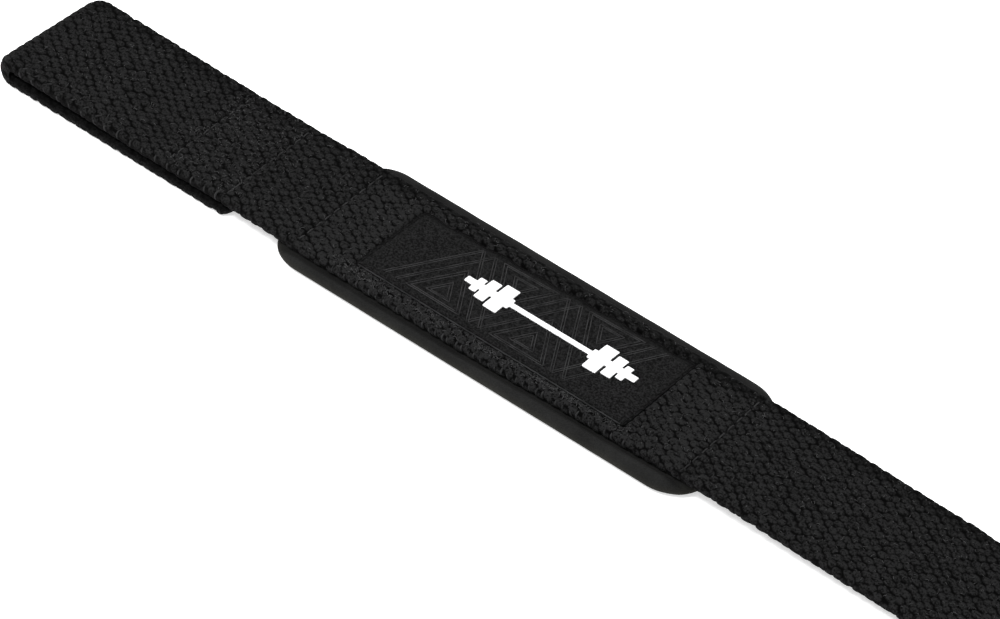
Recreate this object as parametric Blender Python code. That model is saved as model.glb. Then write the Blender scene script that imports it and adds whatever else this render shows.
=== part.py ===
"""A padded weightlifting strap that lies flat with its wrist pad down.

One band of thick cotton webbing runs along X. At -X it folds back under itself into a flat loop,
which is sewn shut over the last stretch of the fold. Past the loop it crosses a foam wrist pad,
and at +X its free end sinks to the surface. A patch with a raised barbell figure sits on the
webbing over the pad. Sizes are in metres, the surface is z = 0, and -Y is the near side.
"""

import math

import bmesh
import bpy

MM = 0.001

# Gap kept between pieces that are sewn or rest together.
CLEARANCE = 0.3 * MM

# Lengths along the strap, from the outer face of the fold to the free end.
LOOP_LENGTH = 81 * MM
LOOP_TO_PAD = 15 * MM
PAD_LENGTH = 136 * MM
TAIL_LENGTH = 92 * MM

# Webbing. Its middle lies this far from the middle of the pad, towards the near side.
WEB_WIDTH = 39 * MM
WEB_THICKNESS = 3.5 * MM
WEB_OFFSET = -0.5 * MM
SELVEDGE_RADIUS = 1.3 * MM
END_CORNER = 3 * MM

# Loop: the open gap at the fold and the sewn stretch at its other end. The fold has rounded
# corners, and its far end lies back by the skew; both fade out along the plies.
LOOP_GAP = 1.0 * MM
SEWN_LENGTH = 22 * MM
FOLD_CORNER = 3.5 * MM
FOLD_SKEW = 0.8 * MM
FOLD_FADE = 12 * MM

# Wrist pad: thick along its free margins, pressed thin where the webbing is sewn over it.
PAD_MARGIN = 4.6 * MM
PAD_CORNER = 11 * MM
PAD_EDGE_THICKNESS = 5.6 * MM
PAD_PRESSED_THICKNESS = 3.9 * MM
PRESS_RAMP = 2.4 * MM

# Patch, sewn slightly askew: it is set in from the pad's ends and from the webbing's edges.
PATCH_START_INSET = 24.8 * MM
PATCH_END_INSET = 24.2 * MM
PATCH_NEAR_MARGIN = 3 * MM
PATCH_FAR_MARGIN_START = 6.1 * MM
PATCH_FAR_MARGIN_END = 2.9 * MM
PATCH_CORNER = 1.5 * MM
PATCH_HEM_THICKNESS = 0.5 * MM
PATCH_THICKNESS = 1.0 * MM
PATCH_HEM_WIDTH = 4 * MM

# Barbell figure on the patch.
FIGURE_START_INSET = 24.5 * MM
FIGURE_END_INSET = 7.5 * MM
FIGURE_HEIGHT = 11 * MM
FIGURE_THICKNESS = 0.6 * MM
FIGURE_BEVEL = 0.12 * MM

# Half of the barbell, from its middle out: shares of the half length, and of the half height.
BARBELL_ROWS = (
    # starts, ends, half height
    (0.00, 0.47, 0.15),
    (0.47, 0.51, 0.36),
    (0.51, 0.66, 1.00),
    (0.66, 0.69, 0.22),
    (0.69, 0.80, 0.78),
    (0.80, 0.83, 0.22),
    (0.83, 0.90, 0.52),
    (0.90, 1.00, 0.20),
)

# The webbing seen from above, where sewing has spread it and drawn it sideways: the place as a
# share of the pad's length from the pad's start, then shares of the webbing's width.
PLAN_ROWS = (
    # along, width, sideways
    (-0.15, 1.000, 0.000),
    (0.08, 1.030, -0.014),
    (0.42, 1.030, -0.013),
    (0.76, 1.005, 0.002),
    (1.02, 0.982, 0.009),
)

# The tail's underside: share of its length past the pad, and share of its height over the pad.
TAIL_ROWS = (
    # along, height
    (0.00, 1.00),
    (0.62, 0.76),
    (1.00, 0.00),
)

# How finely curves are cut into flat faces.
RUN_STEP = 6 * MM
END_STEPS = 4
FOLD_STEPS = 14
SELVEDGE_STEPS = 3
PAD_CORNER_STEPS = 9
PAD_RIM_STEPS = 6
PAD_TOP_STEPS = 6
PATCH_CORNER_STEPS = 3
ACROSS_SHARES = (0.9, 0.8, 0.6, 0.3)

# Places worked out from the sizes above. Every x is measured from the middle of the strap.
STRAP_REACH = LOOP_LENGTH + LOOP_TO_PAD + PAD_LENGTH + TAIL_LENGTH
FOLD_FACE_X = -STRAP_REACH / 2
TAIL_END_X = STRAP_REACH / 2
RETURN_END_X = FOLD_FACE_X + LOOP_LENGTH
SEWN_START_X = RETURN_END_X - SEWN_LENGTH
PAD_START_X = RETURN_END_X + LOOP_TO_PAD
PAD_END_X = PAD_START_X + PAD_LENGTH
PATCH_START_X = PAD_START_X + PATCH_START_INSET
PATCH_END_X = PAD_END_X - PATCH_END_INSET
FOLD_RADIUS = (WEB_THICKNESS + LOOP_GAP) / 2
FOLD_CENTRE_X = FOLD_FACE_X + FOLD_RADIUS + WEB_THICKNESS / 2

# Heights, from the surface up.
SEWN_UNDERSIDE = WEB_THICKNESS + CLEARANCE
OVER_PAD_UNDERSIDE = PAD_PRESSED_THICKNESS + CLEARANCE
PATCH_UNDERSIDE = OVER_PAD_UNDERSIDE + WEB_THICKNESS + CLEARANCE
FIGURE_UNDERSIDE = PATCH_UNDERSIDE + PATCH_THICKNESS + CLEARANCE

# Half widths.
WEB_HALF_WIDTH = WEB_WIDTH / 2
PAD_HALF_WIDTH = WEB_HALF_WIDTH + PAD_MARGIN
PATCH_NEAR_Y = WEB_OFFSET - WEB_HALF_WIDTH + PATCH_NEAR_MARGIN


def eased(share):
    """A smooth step from 0 to 1, level at both ends."""
    share = min(max(share, 0.0), 1.0)
    return share * share * (3 - 2 * share)


def clear_scene():
    for obj in list(bpy.data.objects):
        bpy.data.objects.remove(obj, do_unlink=True)


def make_material(name, colour, roughness):
    material = bpy.data.materials.new(name)
    material.use_nodes = True
    shader = material.node_tree.nodes["Principled BSDF"]
    shader.inputs["Base Color"].default_value = (*colour, 1.0)
    shader.inputs["Roughness"].default_value = roughness
    shader.inputs["Metallic"].default_value = 0.0
    return material


def object_from_rings(name, rings, material):
    """A closed body whose skin joins rings of equally many points, with a flat cap at each end."""
    mesh = bpy.data.meshes.new(name)
    bm = bmesh.new()
    loops = [[bm.verts.new(point) for point in ring] for ring in rings]
    for low, high in zip(loops, loops[1:]):
        for i in range(len(low)):
            j = (i + 1) % len(low)
            bm.faces.new((low[i], low[j], high[j], high[i]))
    bm.faces.new(loops[0])
    bm.faces.new(loops[-1])
    bmesh.ops.recalc_face_normals(bm, faces=bm.faces)
    bm.to_mesh(mesh)
    bm.free()
    mesh.materials.append(material)
    mesh.shade_smooth()
    mesh.set_sharp_from_angle(angle=math.radians(40))
    obj = bpy.data.objects.new(name, mesh)
    bpy.context.scene.collection.objects.link(obj)
    return obj


def evenly_spaced(start, end, count):
    """Evenly spaced values after start, up to and including end."""
    return [start + (end - start) * (i + 1) / count for i in range(count)]


def steps_between(start, end, longest):
    """Evenly spaced values after start, up to and including end, at most this far apart."""
    return evenly_spaced(start, end, max(1, math.ceil(abs(end - start) / longest)))


def underside_rows():
    """Rows (x, height) of the upper ply's underside, from the fold to the free end."""
    rows = [
        (FOLD_CENTRE_X, WEB_THICKNESS + LOOP_GAP),
        (SEWN_START_X, SEWN_UNDERSIDE),
        (RETURN_END_X, SEWN_UNDERSIDE),
        (PAD_START_X, OVER_PAD_UNDERSIDE),
    ]
    for along, height in TAIL_ROWS:
        rows.append((PAD_END_X + along * TAIL_LENGTH, height * OVER_PAD_UNDERSIDE))
    return rows


def underside_at(x):
    """Height of the upper ply's underside, eased from row to row."""
    rows = underside_rows()
    for (x0, z0), (x1, z1) in zip(rows, rows[1:]):
        if x <= x1:
            return z0 + (z1 - z0) * eased((x - x0) / (x1 - x0))
    return rows[-1][1]


def plan_at(x):
    """The webbing's middle line and half width at this x, eased from row to row."""
    along = (x - PAD_START_X) / PAD_LENGTH
    width, sideways = PLAN_ROWS[0][1:]
    for (start, width0, side0), (end, width1, side1) in zip(PLAN_ROWS, PLAN_ROWS[1:]):
        share = eased((along - start) / (end - start))
        width += (width1 - width0) * share
        sideways += (side1 - side0) * share
    return WEB_OFFSET + sideways * WEB_WIDTH, width * WEB_HALF_WIDTH


def narrowing_at_end(distance):
    """How far each edge is drawn in by the rounded corners, this far from a cut end."""
    if distance >= END_CORNER:
        return 0.0
    return END_CORNER - math.sqrt(END_CORNER**2 - (END_CORNER - distance) ** 2)


def fold_setback(x, across, half_width):
    """How far the fold's skew and its rounded corners draw a point back along the strap."""
    past = max(abs(across) - (half_width - FOLD_CORNER), 0.0)
    depth = FOLD_CORNER - math.sqrt(max(FOLD_CORNER**2 - past**2, 0.0))
    depth += FOLD_SKEW * (across / half_width + 1) / 2
    return depth * (1 - eased((x - FOLD_FACE_X) / FOLD_FADE))


def webbing_section(half_width):
    """Points (across, out) round the webbing's section: rounded selvedges and flat faces."""
    half_depth = WEB_THICKNESS / 2
    radius = min(SELVEDGE_RADIUS, half_depth)
    corners = (
        (half_width - radius, half_depth - radius, 0),
        (radius - half_width, half_depth - radius, 90),
        (radius - half_width, radius - half_depth, 180),
        (half_width - radius, radius - half_depth, 270),
    )
    points = []
    for centre_y, centre_n, first_angle in corners:
        for step in range(SELVEDGE_STEPS + 1):
            angle = math.radians(first_angle + 90 * step / SELVEDGE_STEPS)
            points.append((centre_y + radius * math.cos(angle), centre_n + radius * math.sin(angle)))
        if first_angle in (0, 180):
            side = 1 if first_angle == 0 else -1
            flat = [share * side for share in ACROSS_SHARES]
            flat += [-share for share in reversed(flat)]
            points += [(share * (half_width - radius), side * half_depth) for share in flat]
    return points


def webbing_ring(x, z, turn, middle, half_width):
    """One section of the band: turn is 0 on the upper ply and half a turn on the lower."""
    ring = []
    for across, out in webbing_section(half_width):
        point_x = x - out * math.sin(turn)
        point_x += fold_setback(point_x, across, half_width)
        ring.append((point_x, middle + across, z + out * math.cos(turn)))
    return ring


def end_distances():
    """Distances from a cut end at which its rounded corners get a section."""
    angles = [math.radians(90 * step / END_STEPS) for step in range(END_STEPS + 1)]
    return [END_CORNER * (1 - math.cos(angle)) for angle in angles]


def webbing_strap(material):
    half_depth = WEB_THICKNESS / 2
    rings = []
    stations = [TAIL_END_X - distance for distance in end_distances()]
    edges = [x for x, _ in reversed(underside_rows()) if x < stations[-1]]
    for edge in edges:
        stations += steps_between(stations[-1], edge, RUN_STEP)
    for x in stations:
        middle, half_width = plan_at(x)
        half_width -= narrowing_at_end(TAIL_END_X - x)
        rings.append(webbing_ring(x, underside_at(x) + half_depth, 0.0, middle, half_width))
    for step in range(1, FOLD_STEPS):
        turn = math.pi * step / FOLD_STEPS
        x = FOLD_CENTRE_X - FOLD_RADIUS * math.sin(turn)
        z = half_depth + FOLD_RADIUS * (1 + math.cos(turn))
        rings.append(webbing_ring(x, z, turn, WEB_OFFSET, WEB_HALF_WIDTH))
    returning = [FOLD_CENTRE_X]
    returning += steps_between(FOLD_CENTRE_X, RETURN_END_X - END_CORNER, RUN_STEP)
    returning += [RETURN_END_X - distance for distance in reversed(end_distances()[:-1])]
    for x in returning:
        half_width = WEB_HALF_WIDTH - narrowing_at_end(RETURN_END_X - x)
        rings.append(webbing_ring(x, half_depth, math.pi, WEB_OFFSET, half_width))
    return object_from_rings("webbing_strap", rings, material)


def pad_outline(inset):
    """Points (x, y) of the pad's rounded outline, drawn in by the inset."""
    radius = max(PAD_CORNER - inset, PAD_CORNER * 0.1)
    reach_x = PAD_LENGTH / 2 - inset - radius
    reach_y = PAD_HALF_WIDTH - inset - radius
    middle = (PAD_START_X + PAD_END_X) / 2
    points = []
    for quarter, (side_x, side_y) in enumerate(((1, 1), (-1, 1), (-1, -1), (1, -1))):
        for step in range(PAD_CORNER_STEPS + 1):
            angle = math.radians(90 * (quarter + step / PAD_CORNER_STEPS))
            x = middle + side_x * reach_x + radius * math.cos(angle)
            points.append((x, side_y * reach_y + radius * math.sin(angle)))
    return points


def pressed_share(x, y):
    """The pad's height here as a share of its free margin's height: less under the webbing."""
    middle, half_width = plan_at(x)
    free = eased((abs(y - middle) - half_width - CLEARANCE) / PRESS_RAMP)
    pressed = PAD_PRESSED_THICKNESS / PAD_EDGE_THICKNESS
    return pressed + free * (1 - pressed)


def pad_ring(inset, height):
    return [(x, y, height * pressed_share(x, y)) for x, y in pad_outline(inset)]


def wrist_pad(material):
    radius = PAD_EDGE_THICKNESS / 2
    rings = []
    for step in range(PAD_RIM_STEPS + 1):
        angle = math.pi * (step / PAD_RIM_STEPS - 0.5)
        rings.append(pad_ring(radius * (1 - math.cos(angle)), radius * (1 + math.sin(angle))))
    innermost = radius + PAD_MARGIN + abs(WEB_OFFSET)
    for inset in evenly_spaced(radius, innermost, PAD_TOP_STEPS):
        rings.append(pad_ring(inset, PAD_EDGE_THICKNESS))
    return object_from_rings("wrist_pad", rings, material)


def patch_far_y(x):
    """The far edge, which runs slightly askew to the webbing."""
    share = (x - PATCH_START_X) / (PATCH_END_X - PATCH_START_X)
    margin = PATCH_FAR_MARGIN_START + share * (PATCH_FAR_MARGIN_END - PATCH_FAR_MARGIN_START)
    return WEB_OFFSET + WEB_HALF_WIDTH - margin


def patch_ring(inset, height):
    """The patch's outline with small round corners, drawn in by the inset."""
    radius = max(PATCH_CORNER - inset, PATCH_CORNER * 0.2)
    low_x, high_x = PATCH_START_X + inset, PATCH_END_X - inset
    low_y = PATCH_NEAR_Y + inset
    corners = (
        (high_x, patch_far_y(high_x) - inset, -1, -1),
        (low_x, patch_far_y(low_x) - inset, 1, -1),
        (low_x, low_y, 1, 1),
        (high_x, low_y, -1, 1),
    )
    ring = []
    for quarter, (x, y, inward_x, inward_y) in enumerate(corners):
        for step in range(PATCH_CORNER_STEPS + 1):
            angle = math.radians(90 * (quarter + step / PATCH_CORNER_STEPS))
            point_x = x + radius * (inward_x + math.cos(angle))
            point_y = y + radius * (inward_y + math.sin(angle))
            ring.append((point_x, point_y, height))
    return ring


def label_patch(material):
    """A puffed sheet: thin along its sewn hem, and thicker inside it."""
    rise = PATCH_THICKNESS - PATCH_HEM_THICKNESS
    rings = [patch_ring(0.0, PATCH_UNDERSIDE)]
    for share in (0.0, 0.35, 0.7, 1.0):
        height = PATCH_UNDERSIDE + PATCH_HEM_THICKNESS + rise * eased(share)
        rings.append(patch_ring(share * PATCH_HEM_WIDTH, height))
    return object_from_rings("label_patch", rings, material)


def barbell_outline(centre_x, centre_y, half_length):
    """Points (x, y) round the barbell: out along its far side and back along its near side."""
    half_height = FIGURE_HEIGHT / 2
    profile = []
    for starts, ends, height in BARBELL_ROWS:
        profile += [(starts, height), (ends, height)]
    mirrored = [(-along, height) for along, height in reversed(profile)]
    far_side = mirrored[:-1] + profile[1:]
    near_side = [(along, -height) for along, height in reversed(far_side)]
    return [
        (centre_x + along * half_length, centre_y + height * half_height)
        for along, height in far_side + near_side
    ]


def barbell_figure(material):
    start_x = PATCH_START_X + FIGURE_START_INSET
    end_x = PATCH_END_X - FIGURE_END_INSET
    centre_x = (start_x + end_x) / 2
    centre_y = (PATCH_NEAR_Y + patch_far_y(centre_x)) / 2
    outline = barbell_outline(centre_x, centre_y, (end_x - start_x) / 2)
    rings = [[(x, y, FIGURE_UNDERSIDE + lift) for x, y in outline] for lift in (0.0, FIGURE_THICKNESS)]
    obj = object_from_rings("barbell_figure", rings, material)
    bevel = obj.modifiers.new("soft edges", "BEVEL")
    bevel.width = FIGURE_BEVEL
    bevel.segments = 1
    bevel.limit_method = "ANGLE"
    return obj


def main():
    clear_scene()
    webbing_strap(make_material("black cotton webbing", (0.030, 0.030, 0.032), 0.92))
    wrist_pad(make_material("black foam pad", (0.034, 0.035, 0.038), 0.78))
    label_patch(make_material("black patch cloth", (0.026, 0.026, 0.028), 0.80))
    barbell_figure(make_material("white thread", (0.86, 0.86, 0.86), 0.60))


main()
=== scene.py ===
"""A padded weightlifting strap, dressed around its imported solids.

Chunky webbing with a flat sewn loop lies over a foam wrist pad, and a patch with a raised barbell
is sewn on top. Lengths are metres. +X runs to the free end, -Y is the near side and +Z is up.
"""

import math

import bpy
import numpy as np
from mathutils import Matrix, Vector


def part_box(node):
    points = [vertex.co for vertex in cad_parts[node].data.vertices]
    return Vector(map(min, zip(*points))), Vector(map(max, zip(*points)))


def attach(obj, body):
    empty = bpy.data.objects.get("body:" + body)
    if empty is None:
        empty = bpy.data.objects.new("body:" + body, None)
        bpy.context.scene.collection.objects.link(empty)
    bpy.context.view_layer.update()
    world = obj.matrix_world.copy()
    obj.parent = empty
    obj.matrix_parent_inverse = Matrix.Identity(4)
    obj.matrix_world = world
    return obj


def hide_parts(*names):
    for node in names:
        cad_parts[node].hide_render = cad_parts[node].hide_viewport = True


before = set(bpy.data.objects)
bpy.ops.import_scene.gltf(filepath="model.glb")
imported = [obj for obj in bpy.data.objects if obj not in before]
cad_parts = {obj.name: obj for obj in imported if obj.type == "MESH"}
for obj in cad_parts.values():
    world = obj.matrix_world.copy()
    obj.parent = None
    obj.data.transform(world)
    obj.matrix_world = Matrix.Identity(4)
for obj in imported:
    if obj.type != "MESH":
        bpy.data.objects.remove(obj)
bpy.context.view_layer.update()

MM = 0.001
BODY = "root"

# Camera: its place, its right and upward directions, and its lens, fitted to the photograph.
CAMERA_PLACE = Vector((0.49514, -0.83886, 0.85509))
CAMERA_RIGHT = Vector((0.7887, 0.6012, 0.1283))
CAMERA_UP = Vector((-0.4780, 0.4685, 0.7430))
SENSOR_WIDTH_MM = 36.0
LENS_MM = 180.16

# The solids' corners, which place everything else.
WEB_LOW, WEB_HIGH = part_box("webbing_strap")
PAD_LOW, PAD_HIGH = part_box("wrist_pad")
PATCH_LOW, PATCH_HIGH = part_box("label_patch")
FIGURE_LOW, FIGURE_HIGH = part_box("barbell_figure")
PAD_LENGTH = PAD_HIGH.x - PAD_LOW.x

# Webbing: a smooth core with yarn bumps on it, which together are as thick and wide as the solid.
WEB_WIDTH = 39 * MM
WEB_THICKNESS = 3.5 * MM
WEB_MIDDLE_Y = -0.45 * MM
BUMP_HEIGHT = 0.52 * MM
BUMP_PROUD = 0.06 * MM
CORE_HALF_DEPTH = WEB_THICKNESS / 2 + BUMP_PROUD - BUMP_HEIGHT
EDGE_PROUD = 0.65 * MM
CORE_HALF_WIDTH = WEB_WIDTH / 2 - BUMP_HEIGHT * 0.8 + EDGE_PROUD
PEAK_HALF_DEPTH = CORE_HALF_DEPTH + BUMP_HEIGHT
END_CORNER = 3 * MM

# Loop: where its parts lie along the strap, the gap in it, and the corners and skew of its fold.
LOOP_TO_PAD = 15 * MM
SEWN_LENGTH = 22 * MM
LOOP_GAP = 1.0 * MM
FOLD_CORNER = 3.5 * MM
FOLD_SKEW = 0.8 * MM
FOLD_FADE = 12 * MM
FOLD_PROUD = 0.45 * MM
FOLD_FACE_X = WEB_LOW.x - FOLD_PROUD
TAIL_END_X = WEB_HIGH.x
RETURN_END_X = PAD_LOW.x - LOOP_TO_PAD
SEWN_START_X = RETURN_END_X - SEWN_LENGTH
FOLD_RADIUS = (WEB_THICKNESS + LOOP_GAP) / 2
FOLD_CENTRE_X = FOLD_FACE_X + FOLD_RADIUS + WEB_THICKNESS / 2

# Seams sewn across the webbing.
LOOP_SEAM_X = SEWN_START_X - 0.1 * MM
RETURN_SEAM_X = RETURN_END_X - 2.3 * MM
PAD_START_SEAM_X = PAD_LOW.x + 7.8 * MM
PAD_END_SEAM_X = PAD_HIGH.x - 4.7 * MM
SEAMS_X = (LOOP_SEAM_X, RETURN_SEAM_X, PAD_START_SEAM_X, PAD_END_SEAM_X)
SEAM_SKEW = -0.02
SEAM_REACH = 0.9 * MM
SEAM_DEPTH = 0.30 * MM
SEAM_FADE = 3 * MM

# Middle height of the upper ply: over the open loop, where it is sewn, and over the pad.
LOOP_HEIGHT = WEB_THICKNESS * 1.5 + LOOP_GAP
SEWN_HEIGHT = WEB_THICKNESS * 1.5 + 0.3 * MM
OVER_PAD_HEIGHT = PATCH_LOW.z - 0.3 * MM - WEB_THICKNESS / 2

# The webbing seen from above: share of the pad's length past its start, then shares of the width.
PLAN_ROWS = (
    # along, width, sideways
    (-0.15, 1.000, 0.000),
    (0.08, 1.030, -0.014),
    (0.42, 1.030, -0.013),
    (0.76, 1.005, 0.002),
    (1.02, 0.982, 0.009),
)

# The tail's middle height: share of its length past the pad, then of its drop to the surface.
TAIL_ROWS = (
    # along, height
    (0.00, 1.00),
    (0.62, 0.76),
    (1.00, 0.00),
)

# Weave: one yarn bump shows at each corner and each middle of a cell of this size.
CELL_LENGTH = 4.27 * MM
CELLS_AROUND = 29
BUMP_REACH_ALONG = 0.36
BUMP_REACH_ACROSS = 0.47
BUMP_LEAN = -0.12
BUMP_JITTER = 0.15
BUMP_SQUARENESS = 1.25
BUMP_UNEVENNESS = 0.22
WEAVE_SEED = 5.0

# Near the fold and the rounded edges the core is filled up and its bumps are lower. Both are lower in
# the seams and at the cut ends.
CALM_REACH = 9 * MM
CALM_FILL = 0.4
CALM_LOSS = 0.35
SEWN_LOSS = 0.5
END_LOSS = 0.9
END_LOSS_REACH = 2.0 * MM
END_THINNING = 0.35
END_THINNING_REACH = 1.5 * MM

# The weft runs askew: across the strap it gains this much length per width, near the fold and past it.
SKEW_AT_FOLD = 0.093
SKEW_PAST_LOOP = -0.046
SKEW_FADE_START_X = -0.145
SKEW_FADE_LENGTH = 50 * MM

# Slow unevenness of the weave: size in cells, wave lengths along and across in mm, and phase.
WANDER_WAVES = ((0.10, 31, 57, 0.1), (0.07, 13, -23, 0.4), (0.05, 7.1, 9.7, 0.7))

# Shares of painted shade that darken the webbing's colour, or of painted light that lightens it on the pad,
# and how far that fades.
WALL_SHADE = 0.45
FOLD_WALL_RELIEF = 0.35
FAR_SHADE = 0.6
FAR_REACH = 9 * MM
SEWN_SHADE = 0.65
FACING_SHADE = 0.8
ON_PAD_GAIN = 0.75
ON_PAD_FAR_LOSS = 0.45
ON_PAD_FADE = 3 * MM

# How finely the band is cut along and round its section.
FINE_STEP = 0.305 * MM
RETURN_STEP = 0.45 * MM
FOLD_STEPS = 40
OUTER_STEPS = 124
SELVEDGE_STEPS = 10
INNER_STEPS = 44
EDGE_SQUARENESS = 0.7

# Patch: a puffed sheet with a stitched hem. Its far edge runs slightly askew.
PATCH_FAR_SKEW = 3.2 * MM
PATCH_CORNER = 1.5 * MM
PATCH_EDGE_HEIGHT = 0.12 * MM
PATCH_RISE = 0.30 * MM
PATCH_HEM_WIDTH = 4 * MM
PATCH_DEPTH = 0.75 * MM
PATCH_STEP = 0.5 * MM
HEM_SEAM_INSET = 0.75 * MM
HEM_GROOVE_DEPTH = 0.16 * MM
HEM_GROOVE_REACH = 0.9 * MM
STITCH_PITCH = 3.0 * MM
EDGE_ROLL_INSET = 0.12 * MM
EDGE_ROLL_RADIUS = 0.20 * MM

# The patch's far edge is tucked down by so many mm, more and less along a wave.
TUCK_MM = 0.5
TUCK_WAVE_MM = 0.3
TUCK_WAVE_LENGTH = 12 * MM
TUCK_REACH = 3.2 * MM

# The webbing is pressed down under the patch and bulges beside it, by so many mm, most on the far side.
PRESS_MM = 0.6
PRESS_FADE = 1.2 * MM
BULGE_MM = 0.45
BULGE_FAR_GAIN_MM = 0.45
BULGE_FADE = 10 * MM
BULGE_PLACE = 1.3 * MM
BULGE_REACH = 4 * MM

# Shares of painted shade that darken the patch's colour, and how far in: along its far edge, below the
# webbing's raised rim, at its border and between its end stitches. It never darkens by more than the last
# share.
PATCH_FAR_SHADE = (0.75, 3.0 * MM)
PATCH_BORDER_SHADE = (0.5, 0.6 * MM)
PATCH_END_SHADE = (0.7, 1.5 * MM)
PATCH_MOST_SHADE = 0.85

# Places along a stitch and the lift there, as shares of its length and rise. Its ends dip into the cloth.
STITCH_ROWS = ((0.06, 0.1), (0.25, 0.8), (0.50, 1.0), (0.75, 0.8), (0.94, 0.1))

# Length, gap, rise and dip of the stitches across the webbing and round the patch.
SEAM_STITCH = (2.9 * MM, 0.9 * MM, 0.30 * MM, 0.35 * MM)
HEM_STITCH = (2.2 * MM, 0.8 * MM, 0.10 * MM, 0.25 * MM)
SEAM_MARGIN = 1.6 * MM
SEAM_THREAD_RADIUS = 0.21 * MM
HEM_THREAD_RADIUS = 0.17 * MM

# Weft yarns turning round the edges: the angles they start and end at, in degrees above level.
CURL_STARTS = 105
CURL_ENDS = -70
CURL_STEPS = 10
CURL_YARN_RADIUS = 0.30 * MM
CURL_OUTSET = 0.14 * MM
CURL_SIZES = (0.96, 1.06)
CURL_HOOKS_MM = (0.7, 1.3)
CURL_STRAY_MM = (-0.4, 0.4)
CURLS_FROM_FOLD = 9 * MM
CURLS_PAST_PATCH = 4 * MM

# Loose fibres: the stretches they lie on, between shares of the half width, and how many there are.
FIBRE_AREAS = (
    # start, end, near, far, count
    (FOLD_FACE_X + 5 * MM, TAIL_END_X - 3 * MM, -0.95, 0.95, 1500),
    (LOOP_SEAM_X - 3 * MM, RETURN_SEAM_X + 2 * MM, -0.95, 0.95, 380),
    (PATCH_LOW.x - 6 * MM, PATCH_HIGH.x + 2 * MM, -0.96, -0.80, 560),
    (PATCH_LOW.x - 6 * MM, PATCH_HIGH.x + 2 * MM, 0.66, 0.95, 60),
)
FIBRE_STEPS = 6
FIBRE_RADIUS = 0.07 * MM
FIBRE_REACH_MM = (0.4, 0.95)
FIBRE_SWEEP = (40, 90)
FIBRE_LIFT = (0.72, 1.0)
FIBRE_ARCH = 0.2 * MM
FIBRE_OFF_PATCH = 0.3 * MM

# Raised lines on the patch: a zigzag ribbon with nested triangles in the bays beside it.
ZIGZAG_BAYS = 6
RIBBON_SHIFTS = (-2.3 * MM, -1.55 * MM, 1.55 * MM, 2.3 * MM)
TRIANGLE_SCALES = (0.62, 0.53, 0.27, 0.19)
RELIEF_INSET = 2.8 * MM
RELIEF_LIFT = 0.02 * MM
RELIEF_RADIUS = 0.15 * MM
LINE_STEP = 1.2 * MM

# Barbell: half of it, from its middle out, as shares of the half length and of the half height.
BARBELL_ROWS = (
    # starts, ends, half height
    (0.00, 0.47, 0.15),
    (0.47, 0.51, 0.36),
    (0.51, 0.66, 1.00),
    (0.66, 0.69, 0.22),
    (0.69, 0.80, 0.78),
    (0.80, 0.83, 0.22),
    (0.83, 0.90, 0.52),
    (0.90, 1.00, 0.20),
)
FIGURE_CENTRE = (FIGURE_LOW + FIGURE_HIGH) / 2
FIGURE_HALF_LENGTH = (FIGURE_HIGH.x - FIGURE_LOW.x) / 2
FIGURE_HALF_HEIGHT = (FIGURE_HIGH.y - FIGURE_LOW.y) / 2
FIGURE_CORNER = 0.3 * MM
BODY_SUNK = 0.1 * MM
BODY_PROUD = 0.24 * MM
SATIN_PITCH = 0.30 * MM
SATIN_INSET = 0.1 * MM
SATIN_RADIUS = 0.17 * MM
SATIN_LIFT = 0.10 * MM
SATIN_ARCH = 0.16 * MM

# Pad: free and pressed thickness, round corners, and how finely it is cut.
PAD_CORNER = 11 * MM
PAD_PROUD = 0.5 * MM
PAD_SHIFT = 0.3 * MM
PAD_EDGE_THICKNESS = 5.6 * MM
PAD_PRESSED_THICKNESS = 3.9 * MM
PRESS_MARGIN = 0.3 * MM
PRESS_RAMP = 2.4 * MM
PAD_CORNER_STEPS = 28
PAD_SIDE_STEP = 1.2 * MM
PAD_RIM_STEPS = 18
PAD_TOP_STEPS = 26
PAD_REACH_IN = 9 * MM

# Slow unevenness of the pad's height: share of it, wave length and phase.
PAD_WAVES = ((0.02, 23 * MM, 0), (0.015, 9.1 * MM, 1))

# Studio: soft round lights aimed at the strap, the white sky's strength and the floor.
LIGHTS = (
    # name, place, width, power
    ("key", (-0.35, -0.75, 1.35), 0.55, 22),
    ("fill", (0.2, 0.9, 1.0), 0.9, 2),
)
SKY_STRENGTH = 0.85
FLOOR_REACH = 4.0
FLOOR_DROP = 0.1 * MM
WHITE = (1.0, 1.0, 1.0, 1.0)

RANDOM_SEED = 11


def eased(share):
    """A smooth step from 0 to 1, level at both ends."""
    share = np.clip(share, 0.0, 1.0)
    return share * share * (3 - 2 * share)


def eased_rows(rows, place):
    """The second column of rows, eased from row to row, at these places in the first."""
    value = np.full_like(place, rows[0][1], dtype=float)
    for (start, low), (end, high) in zip(rows, rows[1:]):
        value += (high - low) * eased((place - start) / (end - start))
    return value


def hump(distance, reach):
    """1 at no distance, easing to 0 at this reach."""
    return eased(1 - np.abs(distance) / reach)


# Node helpers

def put(tree, kind, settings=None, **inputs):
    """Adds a node with these settings and inputs."""
    node = tree.nodes.new(kind)
    for name, value in (settings or {}).items():
        setattr(node, name, value)
    return feed(tree, node, inputs)


def feed(tree, node, inputs):
    """Sets or links the node's inputs, whose names have underscores for spaces."""
    for name, value in inputs.items():
        fill(tree, node.inputs[name.replace("_", " ")], value)
    return node


def fill(tree, socket, value):
    if isinstance(value, bpy.types.NodeSocket):
        tree.links.new(value, socket)
    else:
        socket.default_value = value


def calc(tree, operation, *values):
    """A Math node's result."""
    node = put(tree, "ShaderNodeMath", {"operation": operation})
    for socket, value in zip(node.inputs, values):
        fill(tree, socket, value)
    return node.outputs[0]


def vector_calc(tree, operation, *values):
    """A Vector Math node's result."""
    node = put(tree, "ShaderNodeVectorMath", {"operation": operation})
    for socket, value in zip(node.inputs, values):
        fill(tree, socket, value)
    return node.outputs["Value" if operation == "DOT_PRODUCT" else "Vector"]


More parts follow.
